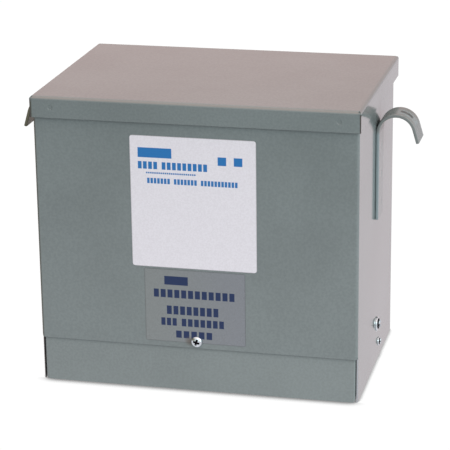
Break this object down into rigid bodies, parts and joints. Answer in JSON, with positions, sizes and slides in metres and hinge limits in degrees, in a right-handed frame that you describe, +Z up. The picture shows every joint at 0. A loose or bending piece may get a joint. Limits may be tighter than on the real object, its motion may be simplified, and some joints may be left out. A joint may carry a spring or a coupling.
{
  "type": "dry-type distribution transformer",
  "caption": "Low-voltage dry-type distribution transformer in a folded sheet-steel box with an overhanging lid, a removable wiring cover, side lifting hooks and rear wall rails.",
  "frame": {"origin": "on the floor, midway across the width and midway between the foremost screw head and the wall plane", "axes": "+X to the right of someone facing the front, +Y from the front to the wall, +Z up"},
  "size_m": [0.4113, 0.2341, 0.2983],
  "materials": {
    "case_paint": "gloss",
    "rail_paint": "gloss",
    "hook_paint": "gloss",
    "bracket_steel": "satin",
    "zinc_screw": "polished",
    "potting_compound": "matte",
    "white_label": "satin",
    "silver_label": "satin"
  },
  "bodies": {
    "root": {"front_side_cover": "case_paint", "top_cover": "case_paint", "wiring_cover": "case_paint", "bottom_tray": "case_paint", "back_plate": "case_paint", "upper_wall_rail": "rail_paint", "lower_wall_rail": "rail_paint", "left_lifting_hook": "hook_paint", "right_lifting_hook": "hook_paint", "core_block": "potting_compound", "left_core_bracket": "bracket_steel", "right_core_bracket": "bracket_steel", "cover_screw": "zinc_screw", "left_frame_bolt": "zinc_screw", "right_frame_bolt": "zinc_screw", "left_tray_screw": "zinc_screw", "right_tray_screw": "zinc_screw", "upper_left_back_screw": "zinc_screw", "upper_right_back_screw": "zinc_screw", "lower_left_back_screw": "zinc_screw", "lower_right_back_screw": "zinc_screw", "rating_label": "white_label", "notice_label": "silver_label"}
  },
  "joints": []
}
